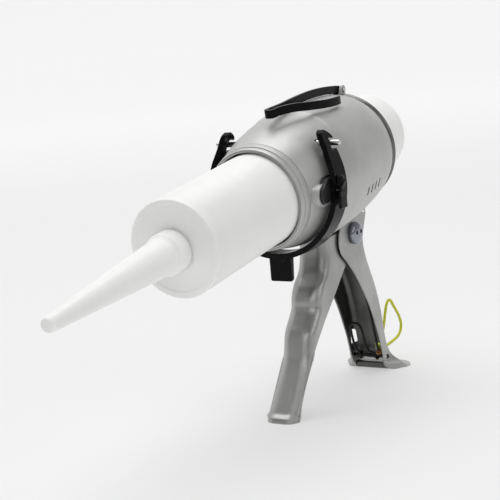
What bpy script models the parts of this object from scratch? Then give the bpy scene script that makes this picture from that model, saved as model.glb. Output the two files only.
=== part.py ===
"""Hand caulking gun with a cast barrel housing, a finger trigger and a hoop-shaped release bail.

Lengths below are in millimetres and turned into metres by MM. Two guide frames carry the pieces:
  stand   x across, y back from the cartridge's front face, z up from the floor
  barrel  x across, y down, z back along the tilted barrel axis, so a turned profile is (radius, s)
"""
import math

import bmesh
import bpy
from mathutils import Matrix, Vector

MM = 0.001
GAP = 0.35                      # clearance between neighbouring pieces

# Stance
TILT = math.radians(7.6)        # the nozzle points down by this much
AXIS_HEIGHT = 111.9             # barrel axis above the floor at the cartridge's front face
FRONT_Y = -59.3                 # puts the origin under the middle of the whole gun

# Cartridge and push sleeve
CARTRIDGE_R = 25.0
CARTRIDGE_BORE = 23.7
CARTRIDGE_END = 128.0
NECK_R = 8.0
NOZZLE_TIP = -98.4
SLEEVE_R = 23.2
SLEEVE_BORE = 21.6
SLEEVE_START = 112.6
SLEEVE_END = 215.2

# Housing
HOUSING_FRONT = 84.6
HOUSING_END = 184.0
HOUSING_BORE = 30.5
REAR_BORE = 28.4
WEB_FRONT = 128.4               # the stop that the cartridge's back end meets
WEB_BACK = 131.6

# Trigger drive
PIVOT = (162.1, 89.4)           # stand frame, y and z
PIVOT_R = 3.0
DRIVE_RING = (147.0, 153.5)
BRAKE_RING = (164.0, 169.0)
ROLLER_R = 3.4
ROLLER_S = DRIVE_RING[1] + GAP + ROLLER_R
ROLLER_DROP = 27.0
TRIGGER_HALF = 9.6
TRIGGER_WALL = 1.4
HANDLE_HALF = 11.5
HANDLE_WALL = 1.4
HANDLE_SCREW = (173.4, 101.6)    # stand frame

# Release bail
BAIL_PIVOT = (98.6, 128.6)      # stand frame
BAIL_CENTRE_Z = 126.4
BAIL_BORE = 35.8
BAIL_THICK = 3.0
BAIL_FRONT = 94.6
BAIL_BACK = 106.6
BAIL_LEAN = 22                  # degrees of arc above the pivot before each arm runs straight
BAIL_TRAVEL = 8                 # degrees that the hoop can swing
RELEASE_PIN_S = 107.9           # barrel frame
RELEASE_PIN_H = 22.6
RELEASE_PIN_END = 37.8
RELEASE_PIN_R = 1.5

# Top clip
CLIP_TALL = 4.6
CLIP_THICK = 2.2
CLIP_HINGE = (184.0, 33.4)      # s and height above the axis
CLIP_PIN_R = 1.1

CORD_R = 0.85
KNOT = (7.85, 190.1, 11.7)
LOCK_WIRE = [(-6.2, 189.4, 12.4), (-6.8, 187.2, 16.6), (-6.9, 184.6, 24.6), (-6.4, 183.4, 28.4), (-4.4, 182.8, 30.3),
             (-1.6, 182.6, 30.4), (0.2, 183.0, 28.6), (0.7, 184.6, 24.0), (0.7, 187.0, 17.0), (1.4, 188.8, 12.8),
             (3.4, 189.8, 11.0)]
CORD_ROUTE = [(6.7, 192.7, 12.3), (5.4, 196.0, 13.4), (3.4, 199.6, 13.8), (2.6, 203.6, 15.4), (2.6, 207.2, 19.4),
              (2.8, 209.8, 25.0), (3.2, 211.2, 30.2), (3.7, 212.4, 34.6), (4.1, 214.6, 37.3), (4.4, 217.4, 36.7),
              (4.7, 219.8, 33.2), (4.9, 223.2, 29.0), (5.1, 226.4, 24.4), (5.2, 228.0, 19.4), (5.3, 226.2, 15.4),
              (5.4, 221.6, 13.0), (5.3, 215.2, 12.0), (5.2, 208.6, 11.4), (5.2, 202.6, 11.2), (5.6, 197.6, 11.0),
              (6.6, 194.6, 11.2)]

for old in list(bpy.data.objects):
    bpy.data.objects.remove(old, do_unlink=True)

PARTS = bpy.data.collections.new("caulking_gun")
CUTTERS = bpy.data.collections.new("cutters")
for group in (PARTS, CUTTERS):
    bpy.context.scene.collection.children.link(group)


# ---------------------------------------------------------------- materials

def finish(name, colour, roughness, metallic):
    material = bpy.data.materials.new(name)
    material.use_nodes = True
    shader = material.node_tree.nodes["Principled BSDF"]
    shader.inputs["Base Color"].default_value = (*colour, 1.0)
    shader.inputs["Roughness"].default_value = roughness
    shader.inputs["Metallic"].default_value = metallic
    return material


CAST = finish("cast_aluminium", (0.62, 0.62, 0.60), 0.38, 0.9)
PRESSED = finish("pressed_alloy", (0.55, 0.56, 0.54), 0.42, 0.9)
STEEL = finish("bright_steel", (0.72, 0.72, 0.72), 0.25, 1.0)
SPRING = finish("spring_steel", (0.30, 0.30, 0.31), 0.3, 1.0)
BLACK = finish("black_coated_steel", (0.015, 0.015, 0.016), 0.35, 0.4)
DARK = finish("black_plastic", (0.02, 0.02, 0.02), 0.5, 0.0)
WHITE = finish("white_plastic", (0.86, 0.86, 0.84), 0.35, 0.0)
YELLOW = finish("yellow_cord", (0.70, 0.72, 0.05), 0.7, 0.0)


# ---------------------------------------------------------------- frames and small helpers

def guide(name, location, tilt=0.0):
    empty = bpy.data.objects.new(name, None)
    empty.location = [value * MM for value in location]
    empty.rotation_euler = (tilt, 0, 0)
    PARTS.objects.link(empty)
    return empty


STAND = guide("stand_frame", (0, FRONT_Y, 0))
BARREL = guide("barrel_frame", (0, FRONT_Y, AXIS_HEIGHT), TILT - math.radians(90))


def to_stand(s, height, x=0.0):
    """Barrel position (s back, height above the axis) as a stand-frame point."""
    return Vector((x, s * math.cos(TILT) - height * math.sin(TILT),
                   AXIS_HEIGHT + s * math.sin(TILT) + height * math.cos(TILT)))


def add(name, data, material, parent, location=(0, 0, 0), rotation=(0, 0, 0)):
    piece = bpy.data.objects.new(name, data)
    piece.parent = parent
    piece.location = [value * MM for value in location]
    piece.rotation_euler = rotation
    if material is not None:
        data.materials.append(material)
    PARTS.objects.link(piece)
    return piece


def as_cutter(piece):
    PARTS.objects.unlink(piece)
    CUTTERS.objects.link(piece)
    piece.hide_render = True
    piece.display_type = 'WIRE'
    return piece


def combine(piece, other, operation):
    as_cutter(other)
    step = piece.modifiers.new(operation.title(), 'BOOLEAN')
    step.operation = operation
    step.solver = 'EXACT'
    step.object = other


def cut(piece, *others):
    for other in others:
        combine(piece, other, 'DIFFERENCE')


def join(piece, *others):
    for other in others:
        combine(piece, other, 'UNION')


def soften(piece, width, segments=2, angle=40):
    step = piece.modifiers.new("Soften", 'BEVEL')
    step.width = width * MM
    step.segments = segments
    step.limit_method = 'ANGLE'
    step.angle_limit = math.radians(angle)


def shade(mesh, angle=35):
    mesh.shade_smooth()
    mesh.set_sharp_from_angle(angle=math.radians(angle))


# ---------------------------------------------------------------- shapes

def turned(name, profile, material, steps=36, parent=BARREL, location=(0, 0, 0), rotation=(0, 0, 0)):
    """Solid of revolution about the frame's z: points (radius, z) down the outer side, then up the inner."""
    ring = min(radius for radius, _ in profile) > 0
    count = len(profile)
    mesh = bpy.data.meshes.new(name)
    points = [(radius * MM, 0, z * MM) for radius, z in profile]
    edges = [(i, (i + 1) % count) for i in range(count if ring else count - 1)]
    mesh.from_pydata(points, edges, [])
    piece = add(name, mesh, material, parent, location, rotation)
    screw = piece.modifiers.new("Turn", 'SCREW')
    screw.axis = 'Z'
    screw.steps = steps
    screw.render_steps = steps
    screw.use_merge_vertices = True
    screw.merge_threshold = 0.00001
    screw.use_smooth_shade = True
    return piece


def ring(name, bore, radius, start, end, material, steps=36, edge=0.4):
    profile = [(bore, end), (radius - edge, end), (radius, end - edge), (radius, start + edge),
               (radius - edge, start), (bore, start)]
    return turned(name, profile, material, steps)


ALONG_X = (0, math.radians(90), 0)


def rod(name, radius, length, material, parent, location, rotation=ALONG_X, sides=24, edge=0.3):
    """A round bar centred on location, along the frame's x unless rotated."""
    half = length / 2
    profile = [(0, half), (radius - edge, half), (radius, half - edge), (radius, edge - half),
               (radius - edge, -half), (0, -half)]
    return turned(name, profile, material, sides, parent, location, rotation)


def headed(name, profile, side, material, parent, place, sides=24):
    """A turned fastener lying across the gun, its head on the given side (+1 or -1)."""
    rotation = (0, math.radians(90) * side, 0)
    return turned(name, profile, material, sides, parent, place, rotation)


def box(name, low, high, material, parent):
    mesh = bpy.data.meshes.new(name)
    work = bmesh.new()
    size = [(b - a) * MM for a, b in zip(low, high)]
    middle = [(a + b) / 2 for a, b in zip(low, high)]
    bmesh.ops.create_cube(work, size=1.0, matrix=Matrix.Diagonal((*size, 1.0)))
    work.to_mesh(mesh)
    work.free()
    return add(name, mesh, material, parent, middle)


SIDE_ON = (math.radians(90), 0, math.radians(90))      # a flat outline's (x, y) become stand y and z


def plate(name, outline, thick, material, parent, location=(0, 0, 0), rotation=SIDE_ON):
    """A flat outline given thickness; returned as a mesh so that it can be cut and joined."""
    curve = bpy.data.curves.new(name, 'CURVE')
    curve.dimensions = '2D'
    curve.fill_mode = 'BOTH'
    curve.extrude = thick * MM / 2
    spline = curve.splines.new('POLY')
    spline.points.add(len(outline) - 1)
    for point, (u, v) in zip(spline.points, outline):
        point.co = (u * MM, v * MM, 0, 1)
    spline.use_cyclic_u = True
    return meshed(add(name + "_outline", curve, None, parent, location, rotation), name, material)


def meshed(source, name, material):
    """Swap a curve object for a welded mesh object of the same place and parent."""
    bpy.context.view_layer.update()
    graph = bpy.context.evaluated_depsgraph_get()
    mesh = bpy.data.meshes.new_from_object(source.evaluated_get(graph))
    mesh.name = name
    work = bmesh.new()
    work.from_mesh(mesh)
    bmesh.ops.remove_doubles(work, verts=work.verts, dist=0.00001)
    bmesh.ops.recalc_face_normals(work, faces=work.faces)
    work.to_mesh(mesh)
    work.free()
    mesh.materials.clear()
    place = source.matrix_world.copy()
    parent = source.parent
    bpy.data.objects.remove(source, do_unlink=True)
    piece = add(name, mesh, material, parent)
    piece.matrix_world = place
    return piece


def wire(name, points, radius, material, parent, location=(0, 0, 0), sides=2):
    curve = bpy.data.curves.new(name, 'CURVE')
    curve.dimensions = '3D'
    curve.bevel_depth = radius * MM
    curve.bevel_resolution = sides
    curve.use_fill_caps = True
    curve.resolution_u = 1
    curve.render_resolution_u = 0
    spline = curve.splines.new('POLY')
    spline.points.add(len(points) - 1)
    for point, place in zip(spline.points, points):
        point.co = (*[value * MM for value in place], 1)
    return add(name, curve, material, parent, location)


def arc(centre, radius, start, end, count):
    """Points on a circle from start to end degrees."""
    for i in range(count + 1):
        angle = math.radians(start + (end - start) * i / count)
        yield (centre[0] + radius * math.cos(angle), centre[1] + radius * math.sin(angle))


def smooth(points, per_span):
    """Catmull-Rom curve through the points, per_span steps between neighbours."""
    points = [Vector(point) for point in points]
    padded = [2 * points[0] - points[1], *points, 2 * points[-1] - points[-2]]
    out = []
    for a, b, c, d in zip(padded, padded[1:], padded[2:], padded[3:]):
        for i in range(per_span):
            t = i / per_span
            out.append(0.5 * (2 * b + (c - a) * t + (2 * a - 5 * b + 4 * c - d) * t * t
                              + (3 * b - a - 3 * c + d) * t ** 3))
    out.append(points[-1])
    return out


def coil(radius, start, end, turns, per_turn=14):
    """Helix about z with its two end turns closed up."""
    count = int(turns * per_turn)
    for i in range(count + 1):
        t = i / count
        angle = 2 * math.pi * turns * t
        yield (radius * math.cos(angle), radius * math.sin(angle), start + (end - start) * t)


def loft(name, sections, material, parent):
    """Closed skin through sections that have equal point counts."""
    mesh = bpy.data.meshes.new(name)
    work = bmesh.new()
    loops = [[work.verts.new(Vector(point) * MM) for point in section] for section in sections]
    for upper, lower in zip(loops, loops[1:]):
        count = len(upper)
        for i in range(count):
            j = (i + 1) % count
            work.faces.new((upper[i], upper[j], lower[j], lower[i]))
    work.faces.new(loops[0])
    work.faces.new(list(reversed(loops[-1])))
    bmesh.ops.recalc_face_normals(work, faces=work.faces)
    work.to_mesh(mesh)
    work.free()
    shade(mesh, 40)
    return add(name, mesh, material, parent)


def channel(name, stations, radius, material, arc_steps=3):
    """A U-section pressing lofted down a handle.

    Each station is (web y, web z, edge y, edge z, half width, wall, web wall): the web's outer line, the
    flanges' free edge, and the thickness of flange and web in the station's own plane.
    """
    loops = []
    for web_y, web_z, edge_y, edge_z, half, wall, web_wall in stations:
        web = Vector((0, web_y, web_z))
        reach = Vector((0, edge_y, edge_z)) - web
        depth = reach.length
        inward = reach.normalized()
        section = [(-half, depth)]
        section += arc((-half + radius, radius), radius, 180, 270, arc_steps)
        section += arc((half - radius, radius), radius, 270, 360, arc_steps)
        section += [(half, depth), (half - wall, depth)]
        side = radius - wall
        front = radius - web_wall
        for turn in range(arc_steps + 1):
            angle = math.radians(90 * turn / arc_steps)
            section.append((half - radius + side * math.cos(angle), radius - front * math.sin(angle)))
        for turn in range(arc_steps + 1):
            angle = math.radians(90 + 90 * turn / arc_steps)
            section.append((-half + radius + side * math.cos(angle), radius - front * math.sin(angle)))
        section.append((-half + wall, depth))
        loops.append([Vector((x, 0, 0)) + web + inward * v for x, v in section])
    return loft(name, loops, material, STAND)


# ---------------------------------------------------------------- cartridge

def cartridge():
    tube = [(CARTRIDGE_R, CARTRIDGE_END), (CARTRIDGE_R, 4.8), (CARTRIDGE_R - 0.3, 4.4),
            (CARTRIDGE_R, 4.0), (CARTRIDGE_R, 1.0), (CARTRIDGE_R - 1.0, 0),
            (NECK_R, 0), (NECK_R, -8.1), (5.4, -8.1), (5.4, 1.8), (CARTRIDGE_BORE, 1.8),
            (CARTRIDGE_BORE, CARTRIDGE_END)]
    turned("cartridge_tube", tube, WHITE, 40)

    def wall(z):
        return 9.4 + (z + 10) * (9.4 - 3.6) / (NOZZLE_TIP * -1 - 10)

    cone = [-10.5, -40, -70, NOZZLE_TIP + 0.8]
    nozzle = [(0, NOZZLE_TIP), (wall(NOZZLE_TIP) - 0.7, NOZZLE_TIP)]
    nozzle += [(wall(z), z) for z in reversed(cone)]
    nozzle += [(NECK_R + 1.9, -9.6), (NECK_R + 2.6, -8.6), (NECK_R + 2.6, -1.0)]
    nozzle += [(NECK_R + GAP, -1.0), (NECK_R + GAP, -8.6), (6.2, -10.2)]
    nozzle += [(wall(z) - 1.6, z) for z in cone[1:3]]
    nozzle += [(2.3, NOZZLE_TIP + 2.6), (0, NOZZLE_TIP + 1.6)]
    turned("nozzle", list(reversed(nozzle)), WHITE, 28)

    piston = [(0, 100.5), (18.0, 100.5), (20.6, 105.6), (22.6, 105.6), (23.3, 104.8), (23.3, 97.0), (21.5, 94.5),
              (0, 93.5)]
    turned("cartridge_piston", piston, WHITE, 36)


def push_sleeve():
    sleeve = [(SLEEVE_R, SLEEVE_END - 0.8), (SLEEVE_R, SLEEVE_START), (SLEEVE_BORE, SLEEVE_START),
              (SLEEVE_BORE, SLEEVE_END - 3.4), (SLEEVE_BORE + 0.7, SLEEVE_END - 3.4),
              (SLEEVE_BORE + 0.7, SLEEVE_END), (SLEEVE_R - 0.5, SLEEVE_END)]
    turned("push_sleeve", sleeve, WHITE)
    cap = [(2.2, SLEEVE_END - 0.2), (SLEEVE_BORE + 0.3, SLEEVE_END - 0.2), (SLEEVE_BORE + 0.3, SLEEVE_END - 3.0),
           (SLEEVE_BORE - 0.3, SLEEVE_END - 3.0), (SLEEVE_BORE - 0.3, SLEEVE_END - 5.6),
           (SLEEVE_BORE - 1.9, SLEEVE_END - 5.6), (SLEEVE_BORE - 1.9, SLEEVE_END - 2.4), (2.2, SLEEVE_END - 2.4)]
    turned("sleeve_end_cap", cap, WHITE, 36)
    disc = [(1.9, 116.4), (21.2, 116.4), (21.2, SLEEVE_START - GAP), (22.9, SLEEVE_START - GAP),
            (22.9, 106.6), (22.3, 106.0), (4.6, 106.0), (4.6, 108.0), (1.9, 108.0)]
    turned("plunger_disc", disc, STEEL, 36)
    screw = [(0, 124.0), (1.5, 124.0), (1.5, 108.0 - GAP), (4.2, 108.0 - GAP), (4.2, 106.4), (3.6, 105.9), (0, 105.9)]
    turned("plunger_screw", screw, STEEL, 20)
    nut = turned("plunger_nut", [(1.9, 119.8), (3.4, 119.8), (3.4, 116.8), (1.9, 116.8)], STEEL, 6)
    nut.data.shade_flat()


# ---------------------------------------------------------------- housing

def shell_line(extra=0.0):
    """The housing's outer line, rear edge to front edge."""
    line = [(28.6, HOUSING_END), (29.8, 183.5), (31.2, 181.2), (33.0, 175.0), (34.8, 164.0),
             (36.2, 150.0), (36.9, 134.0), (36.9, 125.6), (36.2, 121.5), (35.0, 111.5),
             (32.6, 97.5), (28.9, HOUSING_FRONT)]
    return [(radius + extra, s) for radius, s in line]


def housing():
    inner = [(27.4, HOUSING_FRONT), (27.4, 90.0), (30.2, 118.0), (30.2, WEB_FRONT), (24.0, WEB_FRONT),
             (24.0, WEB_BACK), (HOUSING_BORE, WEB_BACK), (HOUSING_BORE, 172.6), (REAR_BORE, 174.6),
             (REAR_BORE, HOUSING_END)]
    body = turned("barrel_housing", shell_line() + inner, CAST, 40)

    top = [to_stand(s, -31.4) for s in (166.0, 174.0)]
    keel = [(spot.y, spot.z) for spot in top] + [(176.6, 96.0), (169.0, 95.0)]
    join(body, plate("keel", keel, 19.4, None, STAND))
    for side in (-1, 1):
        low, high = sorted((28.6 * side, 33.4 * side))
        pad = box("side_pad", (low, -4.9, 91.0), (high, 7.0, 99.5), None, BARREL)
        nose = rod("side_pad_nose", 5.95, 4.8, None, BARREL, (31.06 * side, 1.05, 91.0), edge=0.5)
        join(body, pad, nose)
        for cheek in (-2.45, 2.45):
            if side == 1:
                join(body, clip_lug(cheek))

    pin_slot = box("pin_slot", (-42, -RELEASE_PIN_H - 1.95, 105.9), (42, -RELEASE_PIN_H + 1.95, 114.4), None, BARREL)
    trigger_slot = box("trigger_slot", (-10.2, 20, 146.5), (10.2, 42, 163.6), None, BARREL)
    cut(body, pin_slot, trigger_slot)
    for side in (-1, 1):
        low, high = sorted((31.0 * side, 40 * side))
        pocket = box("pivot_pocket", (low, -7.3, 92.5), (high, 5.75, 107.2), None, BARREL)
        end = rod("pocket_end", 4.8, 9.4, None, BARREL, (35.5 * side, 1.0, 91.1), edge=0.15)
        cut(body, pocket, end)
        cut(body, rod("screw_seat", 2.9, 4, None, STAND, (13.5 * side, *HANDLE_SCREW), edge=0.1))
    cut(body, rod("screw_hole", 1.85, 30, None, STAND, (0, *HANDLE_SCREW), edge=0.1))
    lug_hole = rod("lug_hole", CLIP_PIN_R + GAP, 20, None, BARREL, (0, -CLIP_HINGE[1], CLIP_HINGE[0]), sides=16)
    cut(body, lug_hole)
    return body


def clip_lug(x):
    s, height = CLIP_HINGE
    outline = [(s - 5.5, height - 4.6), *arc((s, height), 2.9, 120, -60, 8), (s + 0.4, height - 4.6)]
    return barrel_plate("clip_lug", outline, 1.5, None, x)


def barrel_plate(name, outline, thick, material, x=0.0):
    """A flat plate lying along the barrel, its outline given as (s, height above the axis)."""
    spots = [to_stand(s, height) for s, height in outline]
    return plate(name, [(spot.y, spot.z) for spot in spots], thick, material, STAND, (x, 0, 0))


def front_bezel():
    profile = [(27.1, 88.6), (27.1, 84.3), (28.3, 84.3), (28.9, 83.6), (28.9, 79.0), (27.9, 77.5),
               (26.6, 77.5), (26.0, 78.2), (26.0, 88.6)]
    turned("front_bezel", profile, CAST, 44)


def rear_closure():
    nut = ring("rear_retaining_ring", 25.3, REAR_BORE - GAP, 175.4, 184.2, CAST, 48)
    cut(nut, box("push_notch", (-1.6, -30, 174), (1.6, -24.5, 186), None, BARREL))
    bush = [(SLEEVE_R + GAP, 185.6), (26.2, 185.6), (26.2, 184.6), (24.9, 184.6), (24.9, 175.4),
            (SLEEVE_R + GAP, 175.4)]
    guide_bush = turned("rear_guide_bush", bush, DARK)
    cut(guide_bush, box("bush_notch", (-1.6, -30, 183), (1.6, -24.75, 187), None, BARREL))


def collet():
    profile = [(25.4, 122.5), (29.7, 122.5), (29.7, 118.0), (27.0, 90.4), (25.4, 90.4)]
    body = turned("collet", profile, DARK)
    for slot in range(4):
        across = (2.2, 70) if slot % 2 else (70, 2.2)
        if slot < 2:
            cut(body, box("collet_slot", (-across[0] / 2, -across[1] / 2, 88), (across[0] / 2, across[1] / 2, 117.2),
                          None, BARREL))
    for side, hand in ((-1, "left"), (1, "right")):
        middle = side * (14.6 + RELEASE_PIN_END) / 2
        place = (middle, -RELEASE_PIN_H, RELEASE_PIN_S)
        hole = rod("pin_hole", RELEASE_PIN_R + GAP, 12, None, BARREL, (side * 18.0, place[1], place[2]), sides=16)
        cut(body, hole)
        rod("release_pin_" + hand, RELEASE_PIN_R, RELEASE_PIN_END - 14.6, STEEL, BARREL, place, sides=20)


# ---------------------------------------------------------------- drive inside the housing

def drive():
    ring("drive_ring", SLEEVE_R + GAP, 29.2, *DRIVE_RING, STEEL)
    ring("brake_ring", SLEEVE_R + GAP, 29.2, *BRAKE_RING, STEEL)
    wire("drive_spring", list(coil(26.6, WEB_BACK + 1.1, DRIVE_RING[0] - 1.1, 3.5)), 0.75, SPRING, BARREL)
    wire("brake_spring", list(coil(24.3, BRAKE_RING[1] + 0.9, 174.5, 2.0)), 0.5, SPRING, BARREL)
    start, end = BRAKE_RING[1] + GAP, 185.6
    rod("brake_push_pin", 1.0, end - start, STEEL, BARREL, (0, -26.8, (start + end) / 2), (0, 0, 0), 16)


# ---------------------------------------------------------------- trigger

def trigger():
    web = [(131.4, 91.0), (131.2, 86.0), (130.2, 79.5), (127.4, 72.5), (121.2, 66.5), (117.6, 60.5), (116.4, 54.5),
           (111.8, 48.5), (107.2, 43.0), (105.2, 37.0), (103.0, 29.0), (98.4, 21.0), (92.6, 13.0), (86.6, 5.6),
           (81.4, 0.0)]
    edge = [(165.5, 94.2), (168.6, 88.0), (164.5, 80.6), (156.6, 74.6), (148.0, 67.6), (140.4, 60.6), (132.6, 54.0),
            (125.4, 47.8), (119.4, 41.8), (114.2, 36.6), (108.2, 30.0), (102.6, 23.2), (96.8, 15.6), (91.6, 8.0),
            (87.0, 0.0)]
    half = [9.6] * 8 + [9.5, 9.4, 9.3, 9.2, 9.1, 9.2, 9.8]
    rows = [(*w, *e, h, TRIGGER_WALL, TRIGGER_WALL + 0.5) for w, e, h in zip(web, edge, half)]
    body = channel("trigger", rows, 4.2, PRESSED, 3)

    nose = to_stand(ROLLER_S, -ROLLER_DROP)
    nose = (nose.y, nose.z)
    outline = [*arc(nose, 2.6, 200, 0, 10), (166.5, 93.0), (166.0, 86.0), (156.0, 86.0), (154.6, 91.0)]
    for side in (-1, 1):
        join(body, plate("ear", outline, 1.1, None, STAND, (side * 8.9, 0, 0)))
    cut(body, rod("pivot_hole", PIVOT_R + GAP, 30, None, STAND, (0, *PIVOT)))
    cut(body, rod("roller_pin_hole", 1.2 + GAP, 30, None, STAND, (0, *nose), sides=16))

    turned("drive_roller", [(1.55, 8.0), (ROLLER_R - 0.3, 8.0), (ROLLER_R, 7.7), (ROLLER_R, -7.7),
                            (ROLLER_R - 0.3, -8.0), (1.55, -8.0)], STEEL, 24, STAND, (0, *nose), ALONG_X)
    rod("roller_pin", 1.2, 20.2, STEEL, STAND, (0, *nose), sides=16)


def pivot():
    shank = 27.6
    head = [(0, 3.2), (4.8, 3.0), (6.0, 2.2), (6.35, 1.4), (6.35, 0), (PIVOT_R, 0), (PIVOT_R, -shank), (0, -shank)]
    place = (HANDLE_HALF + GAP, *PIVOT)
    bolt = headed("pivot_bolt", head, 1, STEEL, STAND, place, 32)
    for offset in (-2.5, 2.5):
        along = (HANDLE_HALF + 3.4, PIVOT[0] + offset, PIVOT[1] + 0.6)
        cut(bolt, rod("spanner_dimple", 1.15, 3, None, STAND, along, sides=16, edge=0.1))
    nut = [(PIVOT_R + 0.3, 3.0), (4.8, 3.0), (6.0, 2.2), (6.35, 1.4), (6.35, 0), (PIVOT_R + 0.3, 0)]
    headed("pivot_nut", nut, -1, STEEL, STAND, (-HANDLE_HALF - GAP, *PIVOT), 32)
    sleeve = [(PIVOT_R + 0.3, 7.8), (3.9, 7.8), (3.9, -7.8), (PIVOT_R + 0.3, -7.8)]
    turned("pivot_bush", sleeve, STEEL, 24, STAND, (0, *PIVOT), ALONG_X)


def return_spring():
    """Coil on the pivot bush, a short leg behind the trigger's web and a long leg down the handle."""
    y, z = PIVOT
    radius = 5.2
    turns = 4
    steps = 10
    points = [(-6.0, 142.0, 83.0), (-6.0, 152.0, z - radius)]
    for i in range(int(turns * steps) + 1):
        angle = math.radians(-90 + 360 * i / steps)
        points.append((-6.0 + 12.0 * i / (turns * steps), y + radius * math.cos(angle), z + radius * math.sin(angle)))
    points[-1] = (6.2, y + 0.6, z - radius)
    points += [(6.6, 166.5, 80.6), (7.2, 170.5, 70.0), (7.8, 176.0, 56.0), (8.0, 182.6, 36.0), (8.0, 187.4, 19.0),
               (8.0, 188.6, 13.0)]
    wire("trigger_return_spring", points, 0.7, SPRING, STAND)


# ---------------------------------------------------------------- rear handle

def rear_handle():
    web = [(182.0, 103.0), (182.2, 98.0), (179.0, 91.5), (176.4, 84.0), (177.6, 76.0), (181.8, 66.0), (187.0, 55.5),
           (191.0, 45.0), (194.0, 33.5), (196.2, 21.0), (198.6, 11.0), (202.6, 5.6), (208.4, 2.4), (215.6, 0.0)]
    edge = [(152.0, 98.6), (146.6, 94.0), (144.4, 87.0), (146.4, 80.0), (153.2, 73.6), (161.0, 65.4), (168.6, 55.2),
            (176.0, 43.8), (181.6, 32.0), (186.2, 20.6), (188.8, 11.4), (190.0, 6.6), (192.0, 2.8), (195.4, 0.0)]
    wall = [1.4] * 11 + [1.9, 2.6, 3.4]
    back = [1.4] * 11 + [2.4, 4.0, 6.0]
    rows = [(*w, *e, HANDLE_HALF, t, b) for w, e, t, b in zip(web, edge, wall, back)]
    body = channel("rear_handle", rows, 5.0, PRESSED, 3)
    for vertex in body.data.vertices:
        back_by = min(max((vertex.co.y / MM - 189) / 16, 0), 1)
        low_by = min(max((24 - vertex.co.z / MM) / 24, 0), 1)
        vertex.co.x *= 1 + 0.8 * back_by * back_by * (3 - 2 * back_by) * low_by ** 2
        wide = max(abs(vertex.co.x) / MM - 11, 0)
        vertex.co.y -= 0.07 * wide ** 2 * MM * back_by
    cut(body, rod("pivot_hole", PIVOT_R + GAP, 40, None, STAND, (0, *PIVOT)))
    cut(body, rod("screw_hole", 1.85, 40, None, STAND, (0, *HANDLE_SCREW), sides=16))
    cut(body, rod("bail_pin_hole", 1.1 + GAP, 40, None, STAND, (0, 192.6, 8.6), sides=16))
    join(body, box("foot_bar", (-10.4, 194.2, 0.15), (10.4, 197.0, 4.0), None, STAND))
    cut(body, box("foot_slot", (-9.4, 197.3, 3.0), (8.2, 206.5, 6.6), None, STAND))
    cut(body, box("cord_notch", (2.4, 190.0, 9.6), (7.4, 208.0, 15.6), None, STAND))
    cut(body, box("corner_slot", (-15.0, 189.9, 15.6), (-8.6, 206.0, 24.4), None, STAND))
    roof = [(0, HOUSING_END + 4), *shell_line(GAP), (0, HOUSING_FRONT)]
    roof[1] = (roof[1][0], HOUSING_END + 4)
    cut(body, turned("handle_roof", roof, None, 40))
    for side, hand in ((-1, "left"), (1, "right")):
        head = [(0, 1.5), (1.7, 1.3), (2.4, 0.6), (2.4, 0), (1.5, 0), (1.5, -8.0), (0, -8.0)]
        headed("handle_screw_" + hand, head, side, STEEL, STAND, (side * (HANDLE_HALF + GAP), *HANDLE_SCREW), 20)


def lock_bail():
    """Wire loop that swings forward from the handle's foot to hold the trigger closed."""
    foot = (192.6, 8.6)
    eye = 1.9
    turns = [math.radians(-160 + 30 * i) for i in range(11)]
    left = [(-5.4, foot[0] + eye * math.cos(a), foot[1] + eye * math.sin(a)) for a in turns]
    right = [(5.4, y, z) for _, y, z in reversed(left)]
    left += LOCK_WIRE
    right[:2] = [(5.4, 190.9, 10.4)]
    wire("lock_bail", left + right, 0.75, SPRING, STAND)
    rod("lock_bail_pin", 1.1, 21.4, STEEL, STAND, (0, *foot), sides=16)


def lanyard():
    points = [tuple(point) for point in smooth(CORD_ROUTE, 2)]
    wire("lanyard", points, CORD_R, YELLOW, STAND)
    mesh = bpy.data.meshes.new("lanyard_knot")
    work = bmesh.new()
    bmesh.ops.create_uvsphere(work, u_segments=12, v_segments=8, radius=2.0 * MM)
    bmesh.ops.scale(work, vec=(1.1, 0.8, 0.9), verts=work.verts)
    work.to_mesh(mesh)
    work.free()
    shade(mesh, 60)
    add("lanyard_knot", mesh, YELLOW, STAND, KNOT)


# ---------------------------------------------------------------- release bail

def bail():
    radius = BAIL_BORE + BAIL_THICK
    ends = hoop_line(radius) + list(reversed(hoop_line(BAIL_BORE)))
    hoop = plate("bail_hoop", ends, 30, BLACK, STAND, (0, BAIL_FRONT + 8, 0), (math.radians(90), 0, 0))
    combine(hoop, plate("hoop_side_view", hoop_side_view(), 100, None, STAND), 'INTERSECT')
    for angle in (BAIL_TRAVEL, BAIL_TRAVEL * 0.6):
        sweep = [(0, HOUSING_END), *shell_line(GAP)[:-1], (32.4, 95), (0, 95)]
        cut(hoop, turned("hoop_sweep", sweep, None, 60, turned_back(angle)))
    tab = [(97.2, 88.8), (100.4, 88.8), (99.2, 76.2), (98.2, 75.0), (97.2, 75.0)]
    join(hoop, plate("bail_tab", tab, 13.2, None, STAND))
    for side, hand in ((-1, "left"), (1, "right")):
        cut(hoop, rod("bail_screw_hole", 2.1, 20, None, STAND, (38 * side, *BAIL_PIVOT), sides=20))
        pivot_block(side, hand)
        head = [(0, 1.7), (2.6, 1.6), (3.6, 1.0), (3.9, 0), (1.75, 0), (1.75, -6.2), (0, -6.2)]
        headed("bail_screw_" + hand, head, side, BLACK, STAND, (side * (radius + GAP), *BAIL_PIVOT), 24)
        low, high = sorted((side * (radius + 0.3), side * (radius + 2.0)))
        stop = box("bail_stop_" + hand, (low, 94.8, 115.0), (high, 102.0, 124.0), BLACK, STAND)
        soften(stop, 0.6)


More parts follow.
